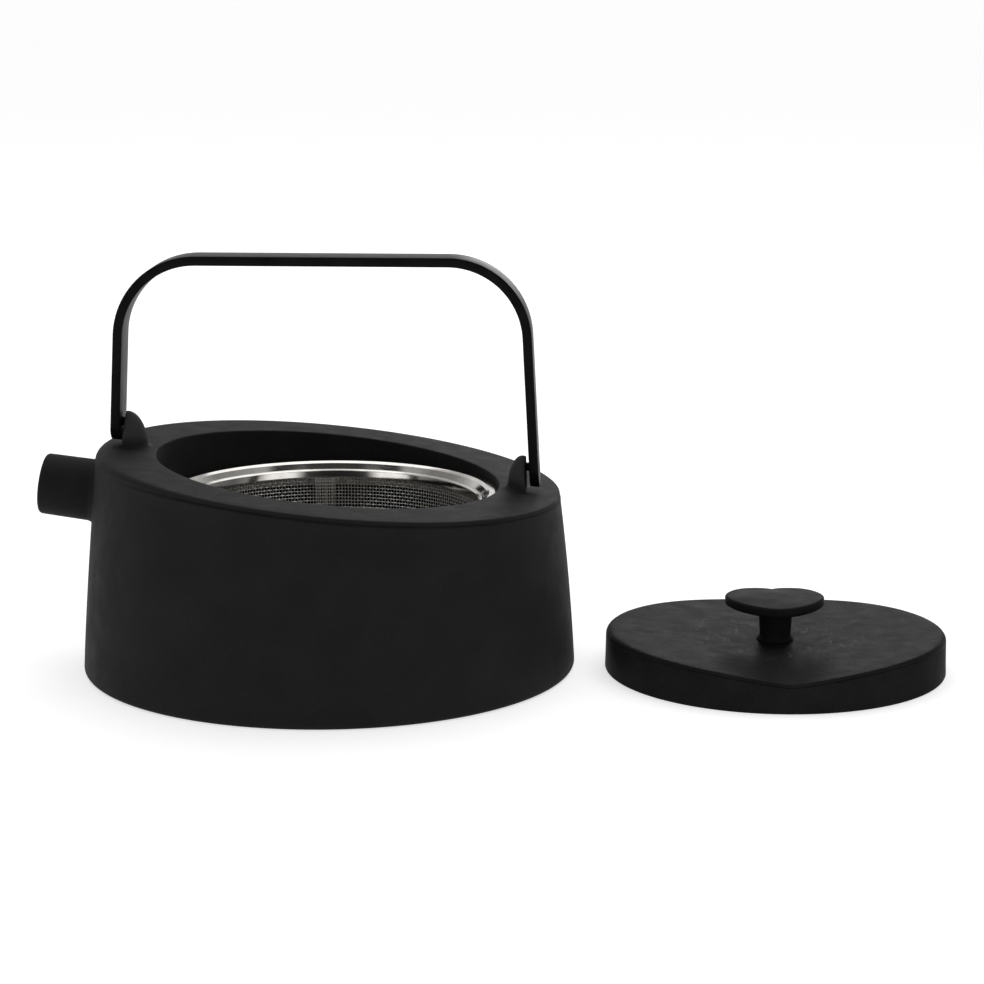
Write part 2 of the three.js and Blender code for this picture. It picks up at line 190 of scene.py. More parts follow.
def ring_profile(name, pairs, count, edge_angle=30):
    """A closed ring from an outline of (radius, height) pairs that runs anticlockwise."""
    radius, height = np.asarray(pairs, float).T[:, :, None]
    angle = np.arange(count) * TAU / count
    points = np.stack([radius * np.cos(angle), radius * np.sin(angle), np.repeat(height, count, 1)], -1)
    return make(name, points.reshape(-1, 3), grid_faces(len(pairs), count, wrap_rows=True), edge_angle)


def rounded(corners, steps):
    """An open outline through corners of (x, y, radius), with each corner replaced by an arc."""
    nearly_straight = math.pi / 2 - 0.02
    points = [np.array(corner[:2], float) for corner in corners]
    out = []
    for i, (*_, radius) in enumerate(corners):
        if radius <= 0 or i in (0, len(corners) - 1):
            out.append(points[i])
            continue
        a, b = points[i - 1] - points[i], points[i + 1] - points[i]
        a, b = a / np.linalg.norm(a), b / np.linalg.norm(b)
        half = math.acos(np.clip(a @ b, -1, 1)) / 2
        if half > nearly_straight:
            out.extend([points[i]] * (steps + 1))
            continue
        reach = radius / math.tan(half)
        centre = points[i] + (a + b) / np.linalg.norm(a + b) * radius / math.sin(half)
        v0, v1 = points[i] + a * reach - centre, points[i] + b * reach - centre
        span = math.acos(np.clip(v0 @ v1 / radius**2, -1, 1))
        for k in range(steps + 1):
            t = k / steps
            out.append(centre + (v0 * math.sin((1 - t) * span) + v1 * math.sin(t * span)) / math.sin(span))
    return np.array(out)


def rounded_loop(corners, steps):
    """The same for a closed outline."""
    return rounded([corners[-1], *corners, corners[0]], steps)[1:-1]


def even_loop(loop, count):
    """Evenly spaced points along a closed outline."""
    path = np.vstack([loop, loop[:1]])
    run = np.concatenate([[0], np.cumsum(np.linalg.norm(np.diff(path, axis=0), axis=1))])
    at = np.linspace(0, run[-1], count + 1)[:-1]
    return np.column_stack([np.interp(at, run, path[:, k]) for k in range(2)])


def outward(loop):
    """Outward unit normals of an anticlockwise outline."""
    along = np.roll(loop, -1, 0) - np.roll(loop, 1, 0)
    along /= np.linalg.norm(along, axis=1)[:, None]
    return np.column_stack([along[:, 1], -along[:, 0]])


def fillet(d, radius):
    """How far a concave fillet stands out at a distance d from the surface it runs into."""
    d = np.clip(d, 0, radius)
    return radius - np.sqrt(np.maximum(radius**2 - (radius - d) ** 2, 0))


def boolean(target, tool, operation):
    """Applies a boolean and removes the tool."""
    modifier = target.modifiers.new("cut", "BOOLEAN")
    modifier.operation = operation
    modifier.solver = "MANIFOLD"
    modifier.object = tool
    graph = bpy.context.evaluated_depsgraph_get()
    result = bpy.data.meshes.new_from_object(target.evaluated_get(graph))
    target.modifiers.clear()
    target.data = result
    bpy.data.objects.remove(tool)


def fix_normals(obj):
    """Turns all faces outward."""
    b = bmesh.new()
    b.from_mesh(obj.data)
    bmesh.ops.recalc_face_normals(b, faces=b.faces)
    b.to_mesh(obj.data)
    b.free()


def straight_tube(name, start, end, radius, count=48):
    """A solid round bar between two points."""
    start, end = np.asarray(start, float), np.asarray(end, float)
    along = (end - start) / np.linalg.norm(end - start)
    side = np.cross(along, [0, 1, 0])
    side = side / np.linalg.norm(side)
    other = np.cross(along, side)
    angle = np.arange(count) * TAU / count
    ring = radius * (np.cos(angle)[:, None] * side + np.sin(angle)[:, None] * other)
    return make(name, np.vstack([start + ring, end + ring]), grid_faces(2, count) + flat_caps(2, count))


# ------------------------------------------------------------------ node helpers


class Nodes:
    """A small helper that lays out a node tree."""

    def __init__(self, tree):
        self.tree = tree

    def add(self, kind, **settings):
        node = self.tree.nodes.new(kind)
        for key, value in settings.items():
            setattr(node, key, value)
        return node

    def link(self, source, target):
        self.tree.links.new(source, target)

    def put(self, value, socket):
        """Feeds a socket from another node, or sets it to a number or a colour."""
        if isinstance(value, bpy.types.NodeSocket):
            self.link(value, socket)
        elif hasattr(value, "__len__"):
            socket.default_value = (*value, 1)
        else:
            socket.default_value = value

    def axes(self, vector):
        """The X, Y and Z parts of a vector."""
        node = self.add("ShaderNodeSeparateXYZ")
        self.link(vector, node.inputs[0])
        return node.outputs

    def ramp(self, source, *stops):
        """Colours or grey values between stops of (position, colour)."""
        node = self.add("ShaderNodeValToRGB")
        elements = node.color_ramp.elements
        while len(elements) < len(stops):
            elements.new(0.5)
        for element, (position, colour) in zip(elements, stops):
            element.position = position
            element.color = (*colour, 1) if hasattr(colour, "__len__") else (colour, colour, colour, 1)
        self.link(source, node.inputs["Fac"])
        return node.outputs["Color"]

    def span(self, source, low, high, to_low, to_high):
        """A smooth step from one value to another between two values of the source."""
        node = self.add("ShaderNodeMapRange", interpolation_type="SMOOTHSTEP")
        for value, key in zip((low, high, to_low, to_high), ("From Min", "From Max", "To Min", "To Max")):
            node.inputs[key].default_value = value
        self.link(source, node.inputs["Value"])
        return node.outputs[0]

    def mix(self, factor, a, b, kind="MIX"):
        node = self.add("ShaderNodeMix", data_type="RGBA", blend_type=kind)
        for value, socket in ((factor, 0), (a, 6), (b, 7)):
            self.put(value, node.inputs[socket])
        return node.outputs[2]

    def maths(self, operation, a, b=0.0, c=0.0):
        node = self.add("ShaderNodeMath", operation=operation)
        for value, socket in zip((a, b, c), node.inputs):
            self.put(value, socket)
        return node.outputs[0]


class Paint(Nodes):
    """A procedural material, with textures laid out in the object's own place."""

    def __init__(self, name):
        self.material = bpy.data.materials.new(name)
        self.material.use_nodes = True
        super().__init__(self.material.node_tree)
        self.place = self.add("ShaderNodeTexCoord").outputs["Object"]

    def surface(self, key, value):
        """Sets or feeds one input of the surface shader."""
        self.put(value, self.tree.nodes["Principled BSDF"].inputs[key])

    def stretched(self, scale, turn=(0, 0, 0)):
        node = self.add("ShaderNodeMapping")
        node.inputs["Scale"].default_value = scale
        node.inputs["Rotation"].default_value = turn
        self.link(self.place, node.inputs["Vector"])
        return node.outputs["Vector"]

    def noise(self, size_mm, detail, roughness, vector=None, distortion=0.0):
        node = self.add("ShaderNodeTexNoise")
        node.inputs["Scale"].default_value = 1 / (size_mm * MM)
        node.inputs["Detail"].default_value = detail
        node.inputs["Roughness"].default_value = roughness
        node.inputs["Distortion"].default_value = distortion
        self.link(vector or self.place, node.inputs["Vector"])
        return node.outputs["Fac"]

    def cells(self, size_mm):
        node = self.add("ShaderNodeTexVoronoi")
        node.inputs["Scale"].default_value = 1 / (size_mm * MM)
        self.link(self.place, node.inputs["Vector"])
        return node.outputs["Distance"]

    def bump(self, height, strength, distance_mm, after=None):
        node = self.add("ShaderNodeBump")
        node.inputs["Strength"].default_value = strength
        node.inputs["Distance"].default_value = distance_mm * MM
        self.link(height, node.inputs["Height"])
        if after is not None:
            self.link(after, node.inputs["Normal"])
        return node.outputs["Normal"]


# ------------------------------------------------------------------ materials


def times(factor, colour):
    return tuple(factor * c for c in colour)


def cast_iron(name, dark, light, rough, specular):
    """Matte black iron with a fine sandy texture and faint clouding.

    The lugs, which stand above the rim plane, get a painted highlight: they turn lighter the higher
    they rise. Returns the paint, its colour and its roughness."""
    # painted highlight: the lugs are coloured lighter the higher they rise above the rim plane
    lug_rise, painted_lug_highlight = 10, times(2.6, light)
    n = Paint(name)
    cloud = n.noise(14, 4, 0.6)
    grain = n.noise(0.55, 2, 0.6)
    sand = n.cells(0.9)
    lumps = n.noise(5.5, 3, 0.5)
    place = n.axes(n.place)
    above = n.maths("MULTIPLY_ADD", place["X"], SLOPE, place["Z"])
    lift = n.maths("MULTIPLY_ADD", above, 1 / (lug_rise * MM), -RIM_ON_AXIS / lug_rise)
    colour = n.ramp(cloud, (0.3, dark), (0.72, light))
    colour = n.mix(0.35, colour, n.ramp(grain, (0.35, 0.35), (0.7, 1.0)), "MULTIPLY")
    # mixes in the painted highlight on the lugs by their height above the rim plane
    colour = n.mix(n.ramp(lift, (0.08, 0.0), (0.5, 1.0)), colour, painted_lug_highlight)
    roughness = n.ramp(n.noise(7, 4, 0.6), (0.3, rough - 0.07), (0.75, rough + 0.07))
    n.surface("Base Color", colour)
    n.surface("Roughness", roughness)
    n.surface("Specular IOR Level", specular)
    n.surface("Normal", n.bump(grain, 0.3, 0.1, n.bump(sand, 0.18, 0.12, n.bump(lumps, 0.25, 0.35))))
    return n, colour, roughness


def worn_and_lit_iron(name, dark, light, rough, specular):
    """The lid's iron: the same coat, with scratched wear and a painted highlight on top round the knob's
    foot.
    """
    ring_size, under_knob, lid_level = 60, 20, 10
    n, colour, roughness = cast_iron(name, dark, light, rough, specular)
    facing = n.axes(n.add("ShaderNodeTexCoord").outputs["Normal"])
    away = n.add("ShaderNodeVectorMath", operation="DISTANCE")
    n.link(n.place, away.inputs[0])
    away.inputs[1].default_value = (LID_X * MM, LID_Y * MM, lid_level * MM)
    from_knob = n.maths("MULTIPLY", away.outputs["Value"], 1 / (ring_size * MM))
    strokes = n.noise(2.6, 6, 0.8, n.stretched((1, 0.4, 1), (0, 0, 0.35)), 0.7)
    # real scratched wear and a painted highlight: a lighter ring on the top faces round the knob's foot
    wear_and_highlight = n.maths(
        "MULTIPLY",
        n.ramp(strokes, (0.54, 0.0), (0.68, 0.8)),
        n.ramp(from_knob, (0.12, 0.2), (0.25, 1.0), (0.45, 0.8), (0.7, 0.08)),
    )
    wear_and_highlight = n.maths("MULTIPLY", wear_and_highlight, n.ramp(facing["Z"], (0.6, 0.0), (0.9, 1.0)))
    wear_and_highlight = n.maths("MULTIPLY", wear_and_highlight, n.maths("LESS_THAN", n.axes(n.place)["Z"], under_knob * MM))
    n.surface("Base Color", n.mix(wear_and_highlight, colour, times(3.0, light)))
    n.surface("Roughness", n.mix(wear_and_highlight, roughness, (rough - 0.1,) * 3))
    return n.material


def satin_iron(name, dark, light, specular):
    """The bail's smooth black coat, with faint long brush marks."""
    n = Paint(name)
    marks = n.noise(1.2, 4, 0.6, n.stretched((0.12, 1, 0.12)))
    cloud = n.noise(9, 3, 0.5)
    coat = n.ramp(cloud, (0.3, dark), (0.75, light))
    n.surface("Base Color", n.mix(0.5, coat, n.ramp(marks, (0.3, 0.5), (0.7, 1.0)), "MULTIPLY"))
    n.surface("Roughness", n.ramp(marks, (0.3, 0.34), (0.7, 0.48)))
    n.surface("Specular IOR Level", specular)
    n.surface("Normal", n.bump(marks, 0.12, 0.06, n.bump(cloud, 0.1, 0.3)))
    return n.material


def steel(name, tone, rough, marks=(1, 1, 1)):
    """Bare or blackened steel with fine marks, which may be stretched to run round the rings."""
    n = Paint(name)
    fine = n.noise(0.5, 3, 0.6, n.stretched(marks))
    stain = n.ramp(n.noise(6, 3, 0.5), (0.3, times(0.82, tone)), (0.7, tone))
    n.surface("Metallic", 1)
    n.surface("Base Color", n.mix(0.5, stain, n.ramp(fine, (0.3, 0.8), (0.7, 1.0)), "MULTIPLY"))
    n.surface("Roughness", n.ramp(fine, (0.3, rough - 0.04), (0.7, rough + 0.06)))
    n.surface("Normal", n.bump(fine, 0.08, 0.03))
    return n.material


iron = cast_iron("cast_iron", (0.0102, 0.0102, 0.0102), (0.0152, 0.015, 0.0149), 0.68, 0.08)[0].material
lid_iron = worn_and_lit_iron("lid_iron", (0.011, 0.0108, 0.0108), (0.0165, 0.0162, 0.016), 0.46, 0.006)
bail_coat = satin_iron("bail_iron", (0.003, 0.003, 0.003), (0.0068, 0.0068, 0.0065), 0.055)
pin_steel = steel("pin_steel", (0.02, 0.02, 0.02), 0.45)
bright_steel = steel("polished_steel", (0.62, 0.6, 0.57), 0.11, marks=(0.15, 0.15, 3))
wire_steel = steel("woven_steel", (0.86, 0.84, 0.8), 0.32)
plain_steel = steel("screw_steel", (0.55, 0.54, 0.52), 0.3)

# ------------------------------------------------------------------ pot body

FOOT_RING, FOOT_RECESS = 70, 0.5  # inner radius of the ring that the pot stands on, and its height
RIM_LINE = (  # a fine ridge and groove under the rim's edge, as (mm down, mm out)
    (3.0, 0), (2.7, 0.1), (2.3, 0.12), (2.0, 0), (1.75, -0.42), (1.3, -0.45), (1.0, 0),
)


def meet_rim(c, drop=0.0, inward=0.0):
    """Height at which the wall, moved inward, meets the rim plane lowered by drop."""
    height = RIM_ON_AXIS - drop
    for _ in range(8):
        height = RIM_ON_AXIS - drop - SLOPE * c * (wall_radius(height, c) - inward)
    return height


def pot_outline(angle):
    """Half the pot's section at one azimuth, from the middle of the base round to the middle of the floor."""
    c, s = math.cos(angle), math.sin(angle)
    height, inside = meet_rim(c), meet_rim(c, DECK, WALL)
    edge = wall_radius(height, c)
    mouth = MOUTH_RADIUS * MOUTH_SQUEEZE / math.hypot(c, MOUTH_SQUEEZE * s)
    collar = MOUTH_RADIUS + COLLAR
    ledge_under = LEDGE_TOP - LEDGE_THICK

    def deck(r):
        return RIM_ON_AXIS - SLOPE * c * r

    soft = 3.0 * max(0, -c) ** 3  # the rim's edge is soft by the spout, where the line fades out
    fade = min(max((c + 0.85) / 0.35, 0), 1)
    line = [
        (wall_radius(height - soft - down, c) + out * fade, height - soft - down, 0) for down, out in RIM_LINE
    ]
    return rounded([
        (0, FOOT_RECESS, 0),
        (FOOT_RING, FOOT_RECESS, 0.4),
        (FOOT_RING + 1, 0, 0.4),
        (BASE_RADIUS, 0, 1.7),
        *[(wall_radius(z, c), z, 0) for z in np.linspace(4.5, height - 8, 22)],
        *line,
        (edge, height, 0.75 + soft),
        *[(r, deck(r), 0) for r in np.linspace(edge - 4.5, mouth + 2.5, 5)],
        (mouth, deck(mouth), 0.5),
        *[(mouth, z, 0) for z in np.linspace(deck(mouth) - 1.2, LEDGE_TOP + 1.0, 5)],
        (mouth, LEDGE_TOP, 0.6),
        (LEDGE_RADIUS, LEDGE_TOP, 0.7),
        (LEDGE_RADIUS, ledge_under, 0.7),
        (collar, ledge_under, 1.0),
        (collar, deck(collar) - DECK, 1.2),
        (wall_radius(inside, c) - WALL, inside, 2.5),
        *[(wall_radius(z, c) - WALL, z, 0) for z in np.linspace(inside - 7, 17, 8)],
        (wall_radius(FLOOR, c) - WALL, FLOOR, 6.5),
        (60, FLOOR, 0),
        (0, FLOOR, 0),
    ], 6)


def spout_point(back, radius, phi):
    """A point of the spout at a distance behind its tip, turned by phi about its middle line."""
    offset = radius * (math.cos(phi) * SPOUT_SIDE + math.sin(phi) * SPOUT_UP)
    return SPOUT_TIP - SPOUT_ALONG * back + offset


def spout_reach(radius, phi):
    """Distance behind the tip at which a point of the spout reaches the pot's wall."""
    low, high = 0.0, 40.0
    for _ in range(40):
        middle = (low + high) / 2
        x, y, z = spout_point(middle, radius, phi)
        r = math.hypot(x, y)
        if r < wall_radius(z, x / r):
            high = middle
        else:
            low = middle
    return (low + high) / 2


def spout_shell():
    """The spout as a round bar, with a rounded lip and a small fillet where it runs into the wall."""
    count, stations, lip, lip_steps = 96, 22, 1.4, 6
    straight, curved = 0.55, 0.45  # shares of the stations before the fillet and in it
    length = 26.0  # from the tip back into the wall
    angles = np.arange(count) * TAU / count

    def taper(back):
        return SPOUT_END + (SPOUT_ROOT - SPOUT_END) * back / length

    rings = []
    for k in range(lip_steps + 1):
        turn = k / lip_steps * math.pi / 2
        rings.append([(lip * (1 - math.cos(turn)), SPOUT_END - lip * (1 - math.sin(turn)))] * count)
    for station in range(1, stations + 1):
        t = station / stations
        ring = []
        for phi in angles:
            reach = spout_reach(SPOUT_ROOT, phi)
            if t < straight:
                back = lip + (reach - SPOUT_FILLET - lip) * t / straight
                radius = taper(back)
            else:
                turn = (t - straight) / curved * math.pi / 2
                gap = SPOUT_FILLET * (1 - math.sin(turn))
                radius = 0.5 * SPOUT_ROOT + 0.5 * taper(reach - gap) + SPOUT_FILLET * (1 - math.cos(turn))
                back = spout_reach(radius, phi) - gap
            ring.append((back, radius))
        rings.append(ring)
    rings.append([(back + 3.0, radius) for back, radius in rings[-1]])
    points = [spout_point(*place, phi) for ring in rings for place, phi in zip(ring, angles)]
    points += [SPOUT_TIP, np.mean(points[-count:], 0)]
    return make("spout", points, grid_faces(len(rings), count) + fan_caps(len(rings), count))


LUG_HALF, LUG_HEIGHT = 6.5, 12.5
LUG_FACE = 1.2  # the dome's middle lies this far behind its outer face
LUG_FOOT, LUG_SINK = 2.0, 1.5  # fillet round the foot, and how deep the lug runs into the deck


def lug_section(h, side, lean, crown, inward):
    """A lug's outline at height h above the deck, x running inward, or None where next to nothing is left."""
    turns, least = 720, 8
    scale = math.sqrt(max(1 - (h / LUG_HEIGHT) ** 2, 0))
    a, b = inward * scale, LUG_HALF * scale

    def face(y):
        return side * (PIVOT_ABOVE - h) * math.tan(lean) - LUG_FACE + crown - math.sqrt(crown**2 - y**2)

    dome = [(a * math.cos(t), b * math.sin(t)) for t in np.linspace(-math.pi, math.pi, turns + 1)[:-1]]
    arc = [(x, y) for x, y in dome if x > face(y)]
    if len(arc) < least:
        return None
    if len(arc) < turns:
        arc += [(face(y), y) for y in np.linspace(arc[-1][1], arc[0][1], 40)[1:-1]]
    return np.array(arc)


def lug_shell(side, face_x, lean, crown, inward):
    """A quarter dome with a nearly flat outer face, its corners softened, with a fillet round its foot."""
    count = 120
    skirt, reach = 0.85, 2.6  # under the leg the fillet stays lower than the leg's sweep
    climb = LUG_FOOT + (LUG_HEIGHT - LUG_FOOT) * np.sin(np.linspace(0, math.pi / 2, 40))[1:-1]
    rings = []
    for level in (-LUG_SINK, -LUG_SINK / 2, *np.linspace(0, LUG_FOOT, 13), *climb):
        h = max(level, 0)
        section = lug_section(h, side, lean, crown, inward)
        if section is None:
            break
        loop = even_loop(section, count)
        for _ in range(6):
            loop = (np.roll(loop, 1, 0) + 2 * loop + np.roll(loop, -1, 0)) / 4
        out = outward(loop)
        under_leg = np.clip((-out[:, 0] - 0.2) / 0.6, 0, 1)
        spread = fillet(h, LUG_FOOT) * (1 - under_leg) + reach * max(0, 1 - h / skirt) ** 2 * under_leg
        loop = loop + out * spread[:, None]
        x = face_x - side * (LUG_FACE + loop[:, 0])
        rings.append(np.column_stack([x, loop[:, 1], deck_height(x) + level]))
    points = np.vstack([*rings, rings[0].mean(0), rings[-1].mean(0) + [0, 0, 0.02]])
    lug = make("lug", points, grid_faces(len(rings), count) + fan_caps(len(rings), count))
    fix_normals(lug)
    return lug


def build_pot():
    azimuths = 288
    body = closed_profile("teapot_body", [pot_outline(k * TAU / azimuths) for k in range(azimuths)])
    boolean(body, spout_shell(), "UNION")
    for side, face_x, *shape in LUGS.values():
        boolean(body, lug_shell(side, face_x, *shape), "UNION")
        bottom, mouth = pivot_point(face_x - side * HOLE_DEPTH), pivot_point(face_x + side * 2)
        boolean(body, straight_tube("hole", bottom, mouth, PIVOT_HOLE), "DIFFERENCE")
    inner_end, outer_end = SPOUT_TIP - SPOUT_ALONG * 33, SPOUT_TIP + SPOUT_ALONG * 4
    boolean(body, straight_tube("bore", inner_end, outer_end, SPOUT_BORE, 64), "DIFFERENCE")
    shade(body.data, 32)
    finish_piece(body, "pot", iron, "cast_iron", "pot_body")


build_pot()

# ------------------------------------------------------------------ bail handle


def bail_half():
    """The right half of the bail's middle line and its outward normals, from the leg's end to the grip."""
    foot_z = 60.0  # below the pivot, and cut off later
    inset = BAIL_THICK / 2
    corner = BAIL_CORNER - inset
    centre_x, centre_z = BAIL_HALF - inset - corner, BAIL_TOP - BAIL_CORNER
    leg_x, leg_z = centre_x + corner * math.cos(BAIL_SPLAY), centre_z + corner * math.sin(BAIL_SPLAY)
    line, normals = [], []
    for z in np.linspace(foot_z, centre_z - 4, 16):
        line.append((leg_x + (leg_z - z) * math.tan(BAIL_SPLAY), z))
        normals.append((math.cos(BAIL_SPLAY), math.sin(BAIL_SPLAY)))
    for t in np.linspace(0, 1, 26):
        a = BAIL_SPLAY + (math.pi / 2 - BAIL_SPLAY) * t
        line.append((centre_x + corner * math.cos(a), centre_z + corner * math.sin(a)))
        normals.append((math.cos(a), math.sin(a)))
    return line, normals


def bail_strap():
    """A flat bar bent into an inverted U, as rings of a rounded rectangle."""
    right, right_normals = bail_half()
    grip_end = right[-1][0]
    grip = [(x, BAIL_TOP - BAIL_THICK / 2) for x in np.linspace(grip_end, -grip_end, 14)[1:-1]]
    line = right + grip + [(-x, z) for x, z in right[::-1]]
    normals = right_normals + [(0, 1)] * len(grip) + [(-x, z) for x, z in right_normals[::-1]]
    wide, thick, edge = BAIL_WIDTH / 2, BAIL_THICK / 2, 0.55
    section = rounded_loop(
        [(-wide, -thick, edge), (wide, -thick, edge), (wide, thick, edge), (-wide, thick, edge)], 4
    )
    points = []
    for (x, z), (nx, nz) in zip(line, normals):
        points += [(BAIL_X + x + nx * out, y, z + nz * out) for y, out in section]
    faces = grid_faces(len(line), len(section)) + flat_caps(len(line), len(section))
    strap = make("bail_handle_bar", points, faces, 40)
    fix_normals(strap)
    return strap


def bail_blade():
    """A tall block with a round lower side about the pivot line, which gives the legs their round ends."""
    radius, reach = BAIL_WIDTH / 2, 100
    up = np.array([math.sin(SLOPE_ANGLE), 0, math.cos(SLOPE_ANGLE)])
    across = np.array([0, 1, 0])
    wide, tall = across * (radius + 2), up * 110
    low_side = [radius * (across * math.cos(a) + up * math.sin(a)) for a in np.linspace(0, math.pi, 41)]
    points = []
    for x in (-reach, reach):
        p = pivot_point(x)
        points += [p - offset for offset in low_side]
        points += [p + wide, p + wide + tall, p - wide + tall, p - wide]
    count = len(points) // 2
    blade = make("blade", points, grid_faces(2, count) + flat_caps(2, count))
    fix_normals(blade)
    return blade


def build_bail():
    strap = bail_strap()
    boolean(strap, bail_blade(), "INTERSECT")
    hole = straight_tube("hole", pivot_point(-100), pivot_point(100), PIVOT_HOLE)
    fix_normals(hole)
    boolean(strap, hole, "DIFFERENCE")
    shade(strap.data, 32)
    finish_piece(strap, "bail", bail_coat, "bail_iron", "bail_handle")


build_bail()

# ------------------------------------------------------------------ pivot pins


def build_pin(node, side, face_x):
    """A plain pin along the pivot line, from inside a lug to just under the outer face of the leg."""
    height = pivot_point(BAIL_X + side * BAIL_HALF)[2]
    outer = BAIL_X + side * (BAIL_HALF + (BAIL_TOP - BAIL_CORNER - height) * math.tan(BAIL_SPLAY))
    head = (outer - face_x) * side / PIVOT_LINE[0] - 0.4
    outline = rounded(
        [(0, -PIN_DEPTH, 0), (PIN_RADIUS, -PIN_DEPTH, 0.3), (PIN_RADIUS, head, 0.4), (0, head + 0.1, 0)], 4
    )
    pin = closed_profile(node + "_rod", [outline] * 48)
    turn = Vector((0, 0, 1)).rotation_difference(Vector(PIVOT_LINE * side)).to_matrix().to_4x4()
    pin.data.transform(Matrix.Translation(Vector(pivot_point(face_x) * MM)) @ turn)
    finish_piece(pin, "pot", pin_steel, "pin_steel", node)


for side_name, (side, face_x, *_) in LUGS.items():
    build_pin(side_name + "_pivot_pin", side, face_x)

# ------------------------------------------------------------------ strainer

MESH_TOP, MESH_BOTTOM, MESH_TOP_R, MESH_BOTTOM_R = 60.0, 16.8, 55.3, 53.2
MESH_LEAN = math.atan((MESH_TOP_R - MESH_BOTTOM_R) / (MESH_TOP - MESH_BOTTOM))
PITCH, WIRE = 1.22, 0.19  # spacing and radius of the wires
MESH_INSET = 0.3  # the weave's middle lies this far inside the basket's cone
WEAVE_LOW, WEAVE_HIGH = 16.2, 59.4
SEAM_ANGLE, SEAM_WIDTH = math.radians(98.2), 7.0


def wires(name, lines, closed=False):
    """Thin wires along many lines, each an array of places and an array of outward normals."""
    sides = 3
    angle = np.arange(sides) * TAU / sides + math.pi / 2
    cosines, sines = np.cos(angle)[:, None], np.sin(angle)[:, None]
    points, faces, start = [], [], 0
    for line, normal in lines:
        ahead = np.roll(line, -1, 0) - np.roll(line, 1, 0)
        if not closed:
            ahead[0], ahead[-1] = line[1] - line[0], line[-1] - line[-2]
        ahead /= np.linalg.norm(ahead, axis=1)[:, None]
        across = np.cross(ahead, normal)
        across /= np.linalg.norm(across, axis=1)[:, None]
        out = np.cross(across, ahead)
        rings = line[:, None] + WIRE * (cosines * across[:, None] + sines * out[:, None])
        points.append(rings.reshape(-1, 3))
        faces += grid_faces(len(line), sides, wrap_rows=closed, start=start)
        if not closed:
            faces += flat_caps(len(line), sides, start)
        start += len(line) * sides
    obj = make(name, np.vstack(points), faces, 0)
    fix_normals(obj)
    obj.data.shade_smooth()
    return obj


def over_under(count, shift):
    """1 and -1 in turn, for a wire that passes over and under the wires it crosses."""
    return np.where((np.arange(count) + shift) % 2 == 0, 1.0, -1.0)


def on_basket(inset, angles, heights, weave):
    """A wire's places and normals at given azimuths and heights, inside the basket's cone."""
    t = (MESH_TOP - heights) / (MESH_TOP - MESH_BOTTOM)
    radius = MESH_TOP_R + (MESH_BOTTOM_R - MESH_TOP_R) * t - inset + WIRE * weave
    cosines, sines = np.cos(angles), np.sin(angles)
    place = np.stack([radius * cosines, radius * sines, heights], -1)
    flat, down = math.cos(MESH_LEAN), np.full_like(angles, -math.sin(MESH_LEAN))
    return place, np.stack([cosines * flat, sines * flat, down], -1)


def build_basket_wall():
    mean_radius = 54.5
    count = 2 * int(math.pi * mean_radius / PITCH)
    rows = 2 * int((WEAVE_HIGH - WEAVE_LOW) / PITCH / 2) + 1
    heights = np.linspace(WEAVE_LOW, WEAVE_HIGH, rows)
    angles = np.arange(count) * TAU / count
    upright = [
        on_basket(MESH_INSET, np.full(rows, a), heights, over_under(rows, k)) for k, a in enumerate(angles)
    ]
    around = [
        on_basket(MESH_INSET, angles, np.full(count, z), -over_under(count, j)) for j, z in enumerate(heights)
    ]
    wall = wires("strainer_wires_upright", upright)
    finish_piece(wall, "strainer", wire_steel, "woven_steel", "strainer_mesh_wall")
    hoops = wires("strainer_wires_round", around, closed=True)
    finish_piece(hoops, "strainer", wire_steel, "woven_steel")


def build_seam():
    """Where the two ends of the mesh overlap: a narrow second layer of weave, inside the first."""
    inset = MESH_INSET + 4.2 * WIRE
    half = SEAM_WIDTH / 2 / 54.0
    overhang = 0.006
    heights = np.arange(17.6, 58.5, PITCH)
    columns = np.linspace(SEAM_ANGLE - half, SEAM_ANGLE + half, 9)
    crossing = np.array([columns[0] - overhang, *columns, columns[-1] + overhang])
    rows, width = len(heights), len(crossing)
    lines = []
    for k, a in enumerate(columns):
        lines.append(on_basket(inset, np.full(rows, a), heights, over_under(rows, k)))
    for j, z in enumerate(heights):
        lines.append(on_basket(inset, crossing, np.full(width, z), over_under(width, j)))
    seam = wires("strainer_seam_layer", lines)
    finish_piece(seam, "strainer", wire_steel, "woven_steel", "strainer_seam")


def build_basket_floor():
    radius, height, step = 50.9, 15.3, PITCH * 1.1
    half_count = int(radius / step)
    places = (np.arange(2 * half_count) - half_count + 0.5) * step
    lines = []
    for turn in (0, 1):
        for k, offset in enumerate(places):
            inside = np.abs(places) < math.sqrt(max(radius**2 - offset**2, 0))
            along = places[inside]
            if len(along) < 3:
                continue
            flat = np.full(len(along), offset)
            z = height + WIRE * over_under(len(places), k + turn)[inside]
            line = np.stack([along, flat, z] if turn == 0 else [flat, along, z], -1)
            lines.append((line, np.tile([0.0, 0.0, 1.0], (len(along), 1))))
    floor = wires("strainer_floor_wires", lines)
    finish_piece(floor, "strainer", wire_steel, "woven_steel", "strainer_mesh_floor")


